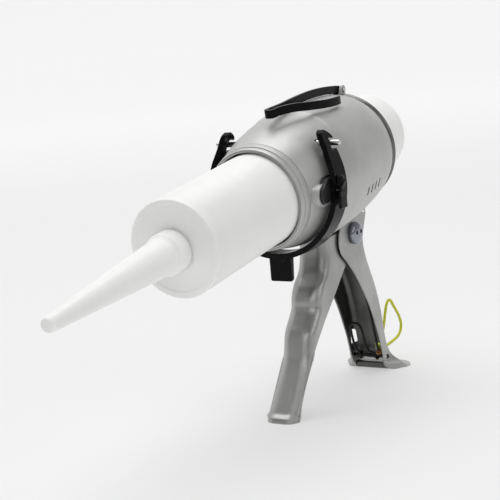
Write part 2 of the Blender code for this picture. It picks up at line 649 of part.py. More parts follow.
def hoop_line(radius):
    """The hoop's run across the gun at one radius: right arm's top, round under the housing, left arm's top."""
    lean = math.radians(BAIL_LEAN)
    reach = 18.0
    tip = (radius * math.cos(lean) - reach * math.sin(lean),
           BAIL_CENTRE_Z + radius * math.sin(lean) + reach * math.cos(lean))
    return [tip, *arc((0, BAIL_CENTRE_Z), radius, BAIL_LEAN, -180 - BAIL_LEAN, 40), (-tip[0], tip[1])]


def turned_back(angle):
    """The barrel frame as the hoop meets it when the hoop has swung by this many degrees."""
    swing = math.radians(angle)
    middle = Vector((0, *BAIL_PIVOT))
    corner = middle + Matrix.Rotation(swing, 3, 'X') @ (Vector((0, 0, AXIS_HEIGHT)) - middle)
    return guide("swung_frame", (0, corner.y + FRONT_Y, corner.z), TILT - math.radians(90) + swing)


def hoop_side_view():
    """The strap from the side: straight up the front, over the release pin as a hook that opens to the back."""
    front = [(BAIL_FRONT, 80.0), (BAIL_FRONT, 138.0), (95.6, 143.4), (97.2, 147.2)]
    crown = list(arc((101.2, 151.4), 4.2, 180, 80, 5))
    beak = [(104.2, 154.4), (106.6, 152.8), (107.8, 151.0), (107.0, 150.5), (105.2, 151.4)]
    throat = [(103.6, 151.7), (102.4, 150.7), (101.95, 149.2), (101.95, 147.4), (101.5, 145.6), (101.6, 144.6)]
    back = [(BAIL_BACK, 145.5), (BAIL_BACK, 80.0)]
    return front + crown + beak + throat + back


def pivot_block(side, hand):
    low, high = sorted((31.35 * side, 34.9 * side))
    block = box("bail_pivot_block_" + hand, (low, -6.6, 93.2), (high, 5.2, 106.8), DARK, BARREL)
    nose = rod("block_nose", 4.4, 3.55, None, BARREL, (33.125 * side, 1.05, 91.0), edge=0.05)
    join(block, nose)
    cut(block, rod("thread", 1.75 + GAP, 9.0, None, STAND, (side * 36.0, *BAIL_PIVOT), sides=20))


# ---------------------------------------------------------------- top clip

def top_clip():
    """Bent strip on edge: one leg along the housing's crest, the other spread towards the right side."""
    s, height = CLIP_HINGE
    # x, distance along the barrel and mid-height of the strip
    path = [(0.0, 186.2, 33.4), (0.0, 175.0, 35.7), (0.0, 164.0, 37.5), (0.0, 150.0, 39.0), (0.0, 134.0, 39.7),
            (-0.2, 119.0, 39.8), (-0.6, 105.0, 40.3), (0.2, 102.0, 40.3), (1.8, 101.0, 40.3), (3.6, 102.4, 40.2),
            (5.4, 107.0, 40.0), (9.6, 115.0, 39.2), (14.0, 123.0, 37.8), (17.4, 136.0, 35.8), (18.2, 147.0, 34.8),
            (17.4, 152.0, 34.8)]
    path = [Vector((x, -h, along)) for x, along, h in path]
    sections = []
    for before, point, after in zip([path[0], *path], path, [*path[1:], path[-1]]):
        ahead = after - before
        side = Vector((ahead.z, 0, -ahead.x)).normalized() * CLIP_THICK / 2
        rise = Vector((0, CLIP_TALL / 2, 0))
        sections.append([point + side + rise, point + side - rise, point - side - rise, point - side + rise])
    clip = loft("release_clip", sections, BLACK, BARREL)
    tail_outline = [(s + 1.6, height + 1.2), (s + 4.2, height + 0.6), (s + 4.2, height - 7.9), (s + 2.3, height - 7.9),
                    (s + 2.3, height - 2.0), (s + 1.6, height - 1.6)]
    join(clip, barrel_plate("clip_tail", tail_outline, 1.9, None))
    cut(clip, rod("clip_eye", CLIP_PIN_R + GAP, 8, None, BARREL, (0, -height, s), sides=16))
    rod("clip_hinge_pin", CLIP_PIN_R, 8.4, STEEL, BARREL, (0, -height, s), sides=16)


cartridge()
push_sleeve()
housing()
front_bezel()
rear_closure()
collet()
drive()
trigger()
pivot()
return_spring()
rear_handle()
lock_bail()
lanyard()
bail()
top_clip()
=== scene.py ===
"""Looks of the caulking gun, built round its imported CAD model.

Shapes are in millimetres; lights, floor and materials are in metres. Two matrices place a shape in the
frame that the CAD uses:
  STAND   x across, y back from the cartridge's front face, z up from the floor
  BARREL  x across, y down, z back along the tilted barrel axis, so a turned profile is (radius, s)
"""
import math

import bmesh
import bpy
from mathutils import Matrix, Vector


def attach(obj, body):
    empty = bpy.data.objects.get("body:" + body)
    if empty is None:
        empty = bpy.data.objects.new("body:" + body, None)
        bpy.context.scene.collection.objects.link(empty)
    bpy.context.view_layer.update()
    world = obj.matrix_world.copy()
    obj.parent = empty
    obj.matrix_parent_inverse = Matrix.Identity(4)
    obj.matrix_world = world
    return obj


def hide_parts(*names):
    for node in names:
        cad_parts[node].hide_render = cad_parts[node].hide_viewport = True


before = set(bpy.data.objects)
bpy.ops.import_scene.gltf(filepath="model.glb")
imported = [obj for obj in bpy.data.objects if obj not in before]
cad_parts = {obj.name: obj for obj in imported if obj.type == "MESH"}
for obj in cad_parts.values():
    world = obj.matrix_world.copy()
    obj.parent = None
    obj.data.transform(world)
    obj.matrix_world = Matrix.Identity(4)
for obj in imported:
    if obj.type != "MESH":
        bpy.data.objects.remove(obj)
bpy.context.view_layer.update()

MM = 0.001
TILT = math.radians(7.6)
AXIS_HEIGHT = 111.9
FRONT_Y = -59.3
STAND = Matrix.Translation((0, FRONT_Y * MM, 0)) @ Matrix.Scale(MM, 4)
BARREL = (Matrix.Translation((0, FRONT_Y * MM, AXIS_HEIGHT * MM))
          @ Matrix.Rotation(TILT - math.pi / 2, 4, "X") @ Matrix.Scale(MM, 4))
GAP = 0.35                          # clearance round a moving piece

HOUSING_FRONT = 84.6                # s of the housing's two edges
HOUSING_END = 184.0
REAR_BAND_S = 178.2                 # behind this, and outside the radius, the housing is dark: painted shade of a groove ahead of the bead
REAR_BAND_R = 30.6
WINDOW_COUNT = 4
WINDOW_START = 138.0                # s of the first window, the pitch and the width
WINDOW_STEP = 5.2
WINDOW_WIDE = 2.0
PIVOT = (162.1, 89.4)               # y, z of the trigger's pivot and of the handle's small screw
HANDLE_SCREW = (173.4, 101.6)
HANDLE_HALF = 11.5                  # half the rear handle's width
ROLLER_S = 153.5 + GAP + 3.4        # the roller between the trigger's ears, behind the drive ring
ROLLER_DROP = 27.0
LOCK_PIN = (192.6, 8.6)             # y, z of the pin that the wire loop turns on
BAIL_PIVOT = (98.6, 128.6)          # y, z of the release hoop's pivot
BAIL_CENTRE_Z = 126.4
BAIL_BORE = 35.8
BAIL_RADIUS = 38.8
BAIL_LEAN = 22                      # degrees above level where the hoop's ends turn straight
CLIP_HINGE = (184.0, 33.4)          # s and height above the barrel axis
SLEEVE_END = 215.2
NOZZLE_TIP = -98.4
CORD_R = 0.85
KNOT = (7.85, 190.1, 11.7)
KNOT_STEPS = 60
PRESSING_STEPS = 6                  # rows between two stations of a pressed handle
CORNER_STEPS = 7                    # steps round each corner of its section
BARE_ROWS = 9                       # last rows of a handle, at its foot, with one finish inside and out, left without the painted shade inside
FLOOR_SIDES = 64
WELD = 0.00001
CORD_ROUTE = [(6.7, 192.7, 12.3), (5.4, 196.0, 13.4), (3.4, 199.6, 13.8), (2.6, 203.6, 15.4),
              (2.6, 207.2, 19.4), (2.8, 209.8, 25.0), (3.2, 211.2, 30.2), (3.7, 212.4, 34.6),
              (4.1, 214.6, 37.3), (4.4, 217.4, 36.7), (4.7, 219.8, 33.2), (4.9, 223.2, 29.0),
              (5.1, 226.4, 24.4), (5.2, 228.0, 19.4), (5.3, 226.2, 15.4), (5.4, 221.6, 13.0),
              (5.3, 215.2, 12.0), (5.2, 208.6, 11.4), (5.2, 202.6, 11.2), (5.6, 197.6, 11.0),
              (6.6, 194.6, 11.2)]

scene = bpy.context.scene
scene.view_settings.view_transform = "Standard"


# ---------------------------------------------------------------- camera, light and floor

def link(thing):
    scene.collection.objects.link(thing)
    return thing


def camera():
    data = bpy.data.cameras.new("camera")
    data.lens = 100.8
    data.sensor_width = 36
    data.clip_start = 0.05
    data.clip_end = 30
    eye = link(bpy.data.objects.new("camera", data))
    right = Vector((0.85324, 0.51446, -0.08552))
    up = Vector((-0.02063, 0.19714, 0.98016))
    ahead = Vector((-0.52111, 0.83454, -0.17882))
    place = Vector((376.81, -535.71 + FRONT_Y, 227.46)) * MM
    eye.matrix_world = Matrix.Translation(place) @ Matrix((right, up, -ahead)).transposed().to_4x4()
    scene.camera = eye


def area(name, place, size, power):
    """A soft light aimed at the middle of the gun."""
    light = bpy.data.lights.new(name, "AREA")
    light.shape = "RECTANGLE"
    light.size, light.size_y = size
    light.energy = power
    lamp = link(bpy.data.objects.new(name, light))
    lamp.location = place
    lamp.rotation_euler = (Vector((0, 0, 0.1)) - Vector(place)).to_track_quat("-Z", "Y").to_euler()


def lights():
    area("top_light", (-0.2, 0.15, 1.5), (1.5, 1.5), 18.2)
    area("side_light", (1.3, 0.1, 0.7), (0.6, 0.9), 2.2)
    area("front_light", (0.7, -1.3, 0.9), (1.2, 1.0), 4.2)
    world = bpy.data.worlds.new("studio")
    world.use_nodes = True
    shade = world.node_tree.nodes["Background"]
    shade.inputs["Color"].default_value = (1, 1, 1, 1)
    shade.inputs["Strength"].default_value = 0.12
    scene.world = world


def floor_mesh():
    """A round floor that rises into a wall all round, wide enough to fill every view."""
    work = bmesh.new()
    rings = [(0.5, 0.0), (1.5, 0.0), (3.0, 0.0), (4.2, 0.05), (5.0, 0.35), (5.5, 0.9), (5.8, 2.0), (5.9, 6.0)]
    turns = [math.tau * i / FLOOR_SIDES for i in range(FLOOR_SIDES)]
    rows = [[work.verts.new((r * math.cos(a), r * math.sin(a), z)) for a in turns] for r, z in rings]
    middle = work.verts.new((0, 0, 0))
    for i in range(FLOOR_SIDES):
        j = (i + 1) % FLOOR_SIDES
        work.faces.new((middle, rows[0][i], rows[0][j]))
        for inner, outer in zip(rows, rows[1:]):
            work.faces.new((inner[i], outer[i], outer[j], inner[j]))
    mesh = bpy.data.meshes.new("floor")
    work.to_mesh(mesh)
    work.free()
    mesh.shade_smooth()
    return mesh


def studio_floor():
    """Pale, with a glow of its own: even near the gun, farther out strongest behind it and to its left."""
    mesh = floor_mesh()
    floor = link(bpy.data.objects.new("floor", mesh))
    sheet = bpy.data.materials.new("floor")
    sheet.use_nodes = True
    tree = sheet.node_tree
    shader = tree.nodes["Principled BSDF"]
    shader.inputs["Base Color"].default_value = (0.45, 0.45, 0.45, 1)
    shader.inputs["Roughness"].default_value = 0.9
    shader.inputs["Specular IOR Level"].default_value = 0.0
    shader.inputs["Emission Color"].default_value = (1, 1, 1, 1)
    spot = tree.nodes.new("ShaderNodeNewGeometry").outputs["Position"]

    def reach(direction, start, end, low, high):
        """How far a spot lies along a direction, or from the middle if there is none, as a smooth rise."""
        far = tree.nodes.new("ShaderNodeVectorMath")
        far.operation = "DOT_PRODUCT" if direction else "LENGTH"
        tree.links.new(spot, far.inputs[0])
        if direction:
            far.inputs[1].default_value = direction
        rise = tree.nodes.new("ShaderNodeMapRange")
        rise.interpolation_type = "SMOOTHSTEP"
        for name, value in (("From Min", start), ("From Max", end), ("To Min", low), ("To Max", high)):
            rise.inputs[name].default_value = value
        tree.links.new(far.outputs["Value"], rise.inputs["Value"])
        return rise.outputs["Result"]

    glow = tree.nodes.new("ShaderNodeMix")
    tree.links.new(reach(None, 0.35, 2.2, 0, 1), glow.inputs["Factor"])
    glow.inputs["A"].default_value = 0.43
    aside = tree.nodes.new("ShaderNodeMath")
    aside.operation = "MULTIPLY"
    tree.links.new(reach((-0.53, 0.85, 0), -1.5, 1.5, 0.16, 0.70), aside.inputs[0])
    tree.links.new(reach((1, 0, 0), 0.4, 2.4, 1, 0.4), aside.inputs[1])
    tree.links.new(aside.outputs[0], glow.inputs["B"])
    tree.links.new(glow.outputs["Result"], shader.inputs["Emission Strength"])
    mesh.materials.append(sheet)


# ---------------------------------------------------------------- materials

class Graph:
    """A material's node tree with short calls for the nodes used below."""

    def __init__(self, name, metallic=0.0):
        self.material = bpy.data.materials.new(name)
        self.material.use_nodes = True
        self.tree = self.material.node_tree
        self.shader = self.tree.nodes["Principled BSDF"]
        self.shader.inputs["Metallic"].default_value = metallic
        self.coords = self.tree.nodes.new("ShaderNodeTexCoord")

    def node(self, kind, **inputs):
        made = self.tree.nodes.new(kind)
        for key, value in inputs.items():
            self.feed(value, made.inputs[key.replace("_", " ")])
        return made

    def feed(self, value, socket):
        if isinstance(value, bpy.types.NodeSocket):
            self.tree.links.new(value, socket)
        else:
            socket.default_value = value

    def place(self, stretch):
        spot = self.node("ShaderNodeMapping", Vector=self.coords.outputs["Object"])
        spot.inputs["Scale"].default_value = stretch
        return spot.outputs["Vector"]

    def noise(self, scale, detail, stretch=(1, 1, 1)):
        made = self.node("ShaderNodeTexNoise", Vector=self.place(stretch), Scale=scale, Detail=detail,
                         Roughness=0.55)
        return made.outputs["Fac"]

    def span(self, value, low, high, start=0.0, end=1.0):
        made = self.node("ShaderNodeMapRange", Value=value)
        for key, number in (("From Min", low), ("From Max", high), ("To Min", start), ("To Max", end)):
            made.inputs[key].default_value = number
        return made.outputs["Result"]

    def blend(self, factor, first, second):
        made = self.tree.nodes.new("ShaderNodeMix")
        made.data_type = "RGBA"
        self.feed(factor, made.inputs[0])
        for value, socket in ((first, made.inputs[6]), (second, made.inputs[7])):
            self.feed((*value, 1) if isinstance(value, tuple) else value, socket)
        return made.outputs[2]

    def combine(self, operation, first, second):
        made = self.node("ShaderNodeMath")
        made.operation = operation
        self.feed(first, made.inputs[0])
        self.feed(second, made.inputs[1])
        return made.outputs[0]

    def bump(self, height, distance, below=None):
        """Relief of a height in metres, laid over the relief below it."""
        made = self.node("ShaderNodeBump", Height=height, Distance=distance, Strength=1.0)
        if below is not None:
            self.feed(below, made.inputs["Normal"])
        return made.outputs["Normal"]

    def finish(self, colour, roughness, normal):
        self.feed(colour, self.shader.inputs["Base Color"])
        self.feed(roughness, self.shader.inputs["Roughness"])
        self.feed(normal, self.shader.inputs["Normal"])
        return self.material


def edges(graph, low=0.53, high=0.60):
    """1 along worn outer edges, broken up so that the wear isn't even."""
    sharp = graph.span(graph.node("ShaderNodeNewGeometry").outputs["Pointiness"], low, high)
    broken = graph.span(graph.noise(420, 4), 0.42, 0.62)
    return graph.combine("MULTIPLY", sharp, broken)


def satin_metal(name, dark, light, roughness, metallic, grain, worn):
    """Cast or pressed alloy: cloudy, finely grained, and brighter along worn edges."""
    graph = Graph(name, metallic=metallic)
    cloud = graph.span(graph.noise(38, 4), 0.35, 0.65)
    body = graph.blend(cloud, dark, light)
    body = graph.blend(edges(graph), body, worn)
    fine = graph.noise(2600, 2)
    coarse = graph.noise(700, 3)
    rough = graph.span(coarse, 0.3, 0.7, roughness - 0.05, roughness + 0.06)
    normal = graph.bump(coarse, 0.00003 * grain)
    normal = graph.bump(fine, 0.00002 * grain, below=normal)
    return graph.finish(body, rough, normal)


def brushed_steel(name, tint, roughness, stretch):
    """Drawn or turned steel with fine lines, which run along the axis whose stretch is small."""
    graph = Graph(name, metallic=1.0)
    lines = graph.noise(900, 3, stretch)
    smear = graph.span(graph.noise(60, 3), 0.4, 0.65)
    body = graph.blend(smear, tint, tuple(value * 0.82 for value in tint))
    rough = graph.span(lines, 0.3, 0.7, roughness - 0.06, roughness + 0.1)
    return graph.finish(body, rough, graph.bump(lines, 0.00001))


def coated(name, base, worn, roughness, peel):
    """Coated steel, a little dusty, with orange peel and worn edges."""
    graph = Graph(name)
    graph.shader.inputs["Coat Weight"].default_value = 0.04
    graph.shader.inputs["Coat Roughness"].default_value = 0.1
    graph.shader.inputs["Specular IOR Level"].default_value = 0.08
    dust = graph.span(graph.noise(90, 5), 0.52, 0.75)
    body = graph.blend(dust, base, tuple(value * 1.7 for value in base))
    body = graph.blend(edges(graph, 0.55, 0.66), body, worn)
    skin = graph.noise(1100, 2)
    rough = graph.span(graph.noise(160, 3), 0.3, 0.7, roughness - 0.05, roughness + 0.08)
    return graph.finish(body, rough, graph.bump(skin, 0.00003 * peel))


def moulded(name, low, high, roughness, peel, subsurface=0.0, lines=None):
    """Moulded plastic: light passes its skin if it has a subsurface weight, and it may have drawn lines."""
    graph = Graph(name)
    graph.shader.inputs["Specular IOR Level"].default_value = 0.45
    if subsurface:
        graph.shader.inputs["Subsurface Weight"].default_value = subsurface
        graph.shader.inputs["Subsurface Radius"].default_value = (1, 1, 1)
        graph.shader.inputs["Subsurface Scale"].default_value = 0.002
    body = graph.blend(graph.span(graph.noise(24, 4), 0.4, 0.65), high, low)
    body = graph.blend(graph.span(graph.noise(900, 2), 0.66, 0.8), body, tuple(value * 0.93 for value in low))
    normal = graph.bump(graph.noise(1500, 2), 0.00002 * peel)
    if lines:
        normal = graph.bump(graph.noise(160, 2, lines), 0.00004, below=normal)
    rough = graph.span(graph.noise(140, 3), 0.3, 0.7, roughness - 0.05, roughness + 0.06)
    return graph.finish(body, rough, normal)


def braided_cord():
    """Twisted strands: the tube's own map runs u round the cord and v along it, in cord diameters."""
    graph = Graph("yellow_cord_look")
    waves = []
    for turn in (1, -1):
        spot = graph.node("ShaderNodeMapping", Vector=graph.coords.outputs["UV"])
        spot.inputs["Rotation"].default_value = (0, 0, math.radians(32) * turn)
        wave = graph.node("ShaderNodeTexWave", Vector=spot.outputs["Vector"], Scale=0.9, Distortion=0.3)
        waves.append(wave.outputs["Fac"])
    weave = graph.span(graph.combine("MAXIMUM", *waves), 0.35, 1.0)
    fibre = graph.span(graph.noise(1800, 3), 0.35, 0.65)
    # Darker yellow where the weave is low, in the hollows between strands: painted shade
    body = graph.blend(weave, (0.36, 0.36, 0.01), (0.66, 0.66, 0.045))
    body = graph.blend(fibre, body, (0.58, 0.60, 0.03))
    normal = graph.bump(weave, 0.00025)
    return graph.finish(body, graph.span(fibre, 0, 1, 0.6, 0.8), normal)


# The knot in the handle's back is yellow cord, coloured brown-orange: painted shade
def knot_painted_shade_look():
    graph = Graph("cord_knot_painted_shade_look")
    strands = graph.noise(700, 4, (1, 0.3, 1))
    body = graph.blend(graph.span(strands, 0.35, 0.65), (0.11, 0.045, 0.012), (0.30, 0.14, 0.03))
    return graph.finish(body, 0.7, graph.bump(strands, 0.0002))


def materials():
    """The looks, by the record's slot name, or by a name of their own for part of a piece."""
    return {
        "cast_aluminium": satin_metal("cast_aluminium_look", (0.47, 0.475, 0.462), (0.53, 0.535, 0.522),
                                      0.44, 0.55, 1.6, (0.74, 0.74, 0.73)),
        "pressed_alloy": satin_metal("pressed_alloy_look", (0.35, 0.355, 0.343), (0.44, 0.445, 0.433),
                                     0.37, 0.93, 1.0, (0.66, 0.66, 0.65)),
        # A dark copy of the pressed alloy for the insides of the pressings: painted shade
        "pressed_painted_shade": satin_metal("pressed_painted_shade_look", (0.10, 0.101, 0.096), (0.15, 0.151, 0.146),
                                      0.36, 0.95, 1.2, (0.25, 0.25, 0.25)),
        # Dark satin for the housing's rear band: painted shade of a groove ahead of the bead
        "rear_band_painted_shade": satin_metal("rear_band_painted_shade_look", (0.15, 0.152, 0.145), (0.19, 0.192, 0.185),
                                   0.3, 0.9, 0.4, (0.3, 0.3, 0.29)),
        "bright_steel": brushed_steel("bright_steel_look", (0.74, 0.74, 0.73), 0.2, (0.05, 1, 1)),
        "blued": brushed_steel("blued_bolt_look", (0.30, 0.31, 0.35), 0.13, (1, 1, 1)),
        "spring_steel": brushed_steel("spring_steel_look", (0.028, 0.028, 0.03), 0.34, (1, 1, 1)),
        "black_coated_steel": coated("black_coated_steel_look", (0.002, 0.002, 0.0022), (0.02, 0.02, 0.02),
                                     0.22, 1.0),
        "black_plastic": moulded("black_plastic_look", (0.012, 0.012, 0.012), (0.02, 0.02, 0.02), 0.42, 2.0),
        "white_plastic": moulded("white_plastic_look", (0.90, 0.90, 0.885), (0.94, 0.94, 0.925),
                                 0.36, 1.0, 0.15, (0.1, 0.1, 1)),
        "yellow_cord": braided_cord(),
        "knot": knot_painted_shade_look(),
    }


# ---------------------------------------------------------------- shapes

def eased(points, closed=False, steps=4):
    """An outline (u, v, reach): a corner with a reach becomes a short curve that long on either side."""
    out = []
    count = len(points)
    for i, point in enumerate(points):
        here = Vector(point[:2])
        reach = point[2] if len(point) > 2 else 0
        if not reach or (not closed and i in (0, count - 1)):
            out.append(tuple(here))
            continue
        back = Vector(points[i - 1][:2]) - here
        on = Vector(points[(i + 1) % count][:2]) - here
        start = here + back.normalized() * min(reach, back.length * 0.48)
        end = here + on.normalized() * min(reach, on.length * 0.48)
        for k in range(steps + 1):
            t = k / steps
            out.append(tuple((1 - t) ** 2 * start + 2 * t * (1 - t) * here + t * t * end))
    return out


def arc(centre, radius, start, end, count):
    """Points on a circle from one angle to another, in degrees."""
    for i in range(count + 1):
        angle = math.radians(start + (end - start) * i / count)
        yield (centre[0] + radius * math.cos(angle), centre[1] + radius * math.sin(angle))


def smooth(points, per_span):
    """Catmull-Rom curve through points of any size, per_span steps between neighbours."""
    points = [Vector(point) for point in points]
    padded = [2 * points[0] - points[1], *points, 2 * points[-1] - points[-2]]
    out = []
    for a, b, c, d in zip(padded, padded[1:], padded[2:], padded[3:]):
        for i in range(per_span):
            t = i / per_span
            out.append(0.5 * (2 * b + (c - a) * t + (2 * a - 5 * b + 4 * c - d) * t * t
                              + (3 * b - a - 3 * c + d) * t ** 3))
    out.append(points[-1])
    return out


def lathe(profile, steps=96):
    """Solid of revolution about z through points (radius, z), closed on itself if it never meets the axis."""
    work = bmesh.new()
    rows = []
    for radius, z in profile:
        if radius < 1e-6:
            rows.append([work.verts.new((0, 0, z))])
        else:
            rows.append([work.verts.new((radius * math.cos(a), radius * math.sin(a), z))
                         for a in (math.tau * i / steps for i in range(steps))])
    pairs = list(zip(rows, rows[1:]))
    if min(radius for radius, _ in profile) > 1e-6:
        pairs.append((rows[-1], rows[0]))
    for upper, lower in pairs:
        for i in range(steps):
            j = (i + 1) % steps
            corners = [upper[i % len(upper)], upper[j % len(upper)],
                       lower[j % len(lower)], lower[i % len(lower)]]
            corners = list(dict.fromkeys(corners))
            if len(corners) > 2:
                work.faces.new(corners)
    return work


def loft(sections, inner=()):
    """Closed skin through sections with the same number of points. Inner columns take the second look,
    painted shade, except in the last rows."""
    work = bmesh.new()
    loops = [[work.verts.new(point) for point in section] for section in sections]
    for row, (upper, lower) in enumerate(zip(loops, loops[1:])):
        count = len(upper)
        for i in range(count):
            j = (i + 1) % count
            face = work.faces.new((upper[i], upper[j], lower[j], lower[i]))
            face.material_index = int(i in inner and row < len(loops) - BARE_ROWS)
    work.faces.new(loops[0])
    work.faces.new(list(reversed(loops[-1])))
    return work


def slab(outline, low, high):
    """An outline (u, v) given thickness along w, as vectors (w, u, v)."""
    return loft([[Vector((w, u, v)) for u, v in outline] for w in (low, high)])


def block(low, high):
    outline = [(low[1], low[2]), (high[1], low[2]), (high[1], high[2]), (low[1], high[2])]
    return slab(outline, low[0], high[0])


def tube(points, radius, sides=12):
    """A round bar that follows the points, its frame carried along without twist."""
    points = [Vector(point) for point in points]
    sections = []
    side = None
    for i, point in enumerate(points):
        ahead = (points[min(i + 1, len(points) - 1)] - points[max(i - 1, 0)]).normalized()
        side = ahead.orthogonal() if side is None else side - ahead * side.dot(ahead)
        side.normalize()
        across = ahead.cross(side)
        sections.append([point + side * radius * math.cos(a) + across * radius * math.sin(a)
                         for a in (math.tau * k / sides for k in range(sides))])
    return loft(sections)


def turned_across(profile, side, place, steps=48):
    """A turned part whose axis lies across the gun, its profile's z pointing to the given side."""
    work = lathe(profile, steps)
    spin = Matrix.Rotation(math.radians(90) * side, 4, "Y")
    bmesh.ops.transform(work, matrix=Matrix.Translation(place) @ spin, verts=work.verts)
    return work


def drill(radius, reach, place, side=1, steps=24):
    """A round hole across the gun, as a shape to cut with."""
    return turned_across([(0, reach), (radius, reach), (radius, -reach), (0, -reach)], side, place, steps)


def solid(name, work, place):
    """The shape as an object in the CAD's frame."""
    bmesh.ops.recalc_face_normals(work, faces=work.faces)
    mesh = bpy.data.meshes.new(name)
    work.to_mesh(mesh)
    work.free()
    mesh.transform(place)
    return link(bpy.data.objects.new(name, mesh))


def change(target, other, operation):
    """Cuts, joins or intersects with another closed object, which is used up."""
    for finish in target.data.materials:
        other.data.materials.append(finish)
    step = target.modifiers.new("step", "BOOLEAN")
    step.operation = operation
    step.solver = "EXACT"
    step.object = other
    settle(target)
    bpy.data.objects.remove(other, do_unlink=True)


def settle(target):
    """Turns the modifiers into plain mesh."""
    graph = bpy.context.evaluated_depsgraph_get()
    mesh = bpy.data.meshes.new_from_object(target.evaluated_get(graph))
    target.modifiers.clear()
    target.data = mesh


def cut(target, *others):
    for work, place in others:
        change(target, solid("cutter", work, place), "DIFFERENCE")


def join(target, *others):
    for work, place in others:
        change(target, solid("addition", work, place), "UNION")


def weld(target):
    """Closes up the points and slivers that the cuts leave."""
    work = bmesh.new()
    work.from_mesh(target.data)
    bmesh.ops.remove_doubles(work, verts=work.verts, dist=WELD)
    bmesh.ops.dissolve_degenerate(work, edges=work.edges, dist=WELD)
    work.to_mesh(target.data)
    work.free()


def soften(target, width, segments=3, angle=35):
    """Rounds the edges that are sharper than the angle."""
    weld(target)
    step = target.modifiers.new("soften", "BEVEL")
    step.width = width * MM
    step.segments = segments
    step.limit_method = "ANGLE"
    step.angle_limit = math.radians(angle)
    settle(target)


def dress(piece, body, slot, nodes, look=None, angle=35, even=False):
    """Rides the body, stands for the nodes, and takes the finish of its slot or the given look."""
    piece.data.shade_smooth()
    piece.data.set_sharp_from_angle(angle=math.radians(angle))
    if even:
        step = piece.modifiers.new("even", "WEIGHTED_NORMAL")
        step.keep_sharp = True
        settle(piece)
    if not piece.data.materials:
        piece.data.materials.append(LOOKS[look or slot])
    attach(piece, body)
    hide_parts(*nodes)
    return piece


def part(node, work, place, body, slot, look=None, angle=35, cuts=(), joins=(), even=False, inside=None):
    """The common case: one shape that stands for one node. A pressing may have a darker look inside, painted
    shade.
    """
    piece = solid(node + "_detail", work, place)
    if inside:
        piece.data.materials.append(LOOKS[look or slot])
        piece.data.materials.append(LOOKS[inside])
    join(piece, *joins)
    cut(piece, *cuts)
    return dress(piece, body, slot, (node,), look, angle, even)


def to_stand(s, height):
    """A place in the barrel's middle plane, as the stand's x, y and z."""
    return Vector((0.0, s * math.cos(TILT) - height * math.sin(TILT),
                   AXIS_HEIGHT + s * math.sin(TILT) + height * math.cos(TILT)))


# ---------------------------------------------------------------- lanyard

def lanyard():
    line = smooth(CORD_ROUTE, 4)
    sides = 12
    girth = 3.14                    # in cord diameters, as the weave's map counts
    work = tube(line, CORD_R, sides)
    layer = work.loops.layers.uv.new("UVMap")
    along = [0.0]
    for a, b in zip(line, line[1:]):
        along.append(along[-1] + (b - a).length)
    work.verts.ensure_lookup_table()
    for face in work.faces:
        cols = [loop.vert.index % sides for loop in face.loops]
        wraps = max(cols) - min(cols) > sides / 2
        for loop, col in zip(face.loops, cols):
            row = loop.vert.index // sides
            turn = col + sides if wraps and col < sides / 2 else col
            loop[layer].uv = (turn / sides * girth, along[row] / (CORD_R * 2))
    cord = solid("lanyard_cord", work, STAND)
    dress(cord, "frame", "yellow_cord", ("lanyard",))

    # An overhand knot pulled tight: the cord goes round twice and passes under itself three times
    knot_line = []
    for i in range(KNOT_STEPS + 1):
        t = math.tau * i / KNOT_STEPS * 2
        ring = 1.15 + 0.35 * math.cos(1.5 * t)
        knot_line.append((KNOT[0] + ring * math.cos(t) * 0.9,
                          KNOT[1] + 0.75 * math.sin(1.5 * t),
                          KNOT[2] + ring * math.sin(t)))
    knot = solid("lanyard_knot_detail", tube(knot_line, 0.62, 10), STAND)
    # The knot takes the knot look, the cord's yellow darkened to brown: painted shade
    dress(knot, "frame", "yellow_cord", ("lanyard_knot",), "knot")


# ---------------------------------------------------------------- cartridge and sleeve

def cartridge():
    r = 25.0
    profile = [(r, 128.0, 0.3), (r, 5.6), (r - 0.22, 5.2), (r - 0.22, 4.6), (r, 4.2), (r, 2.9),
               (r - 0.16, 2.6), (r - 0.16, 2.2), (r, 1.9), (r, 0, 1.2), (21.6, 0, 0.2), (21.4, 0.35, 0.2),
               (9.4, 0.35, 0.3), (9.0, 0.0, 0.3), (8.0, 0.0), (8.0, -8.1, 0.4), (5.4, -8.1), (5.4, 1.8),
               (23.7, 1.8), (23.7, 128.0)]
    part("cartridge_tube", lathe(eased(profile), 144), BARREL, "cartridge", "white_plastic", angle=50)

    def wall(z):
        """The nozzle's outer radius, from 9.4 at its root to 3.6 at its tip."""
        return 9.4 + (z + 10) * (9.4 - 3.6) / (-NOZZLE_TIP - 10)

    tip = NOZZLE_TIP
    outer = [(0, tip), (wall(tip) - 0.5, tip, 0.5), (wall(tip + 0.8), tip + 1.0, 0.4)]
    outer += [(wall(z), z) for z in (-84, -70, -56, -40, -24)]
    outer += [(wall(-11.0), -11.0, 0.5), (10.0, -9.7, 0.4), (10.6, -9.0, 0.4), (10.6, -1.0, 0.4),
              (8.35, -1.0), (8.35, -8.6), (6.2, -10.2), (wall(-40) - 1.6, -40), (wall(-70) - 1.6, -70),
              (2.3, tip + 2.6), (0, tip + 1.6)]
    part("nozzle", lathe(eased(outer), 96), BARREL, "cartridge", "white_plastic", angle=45)


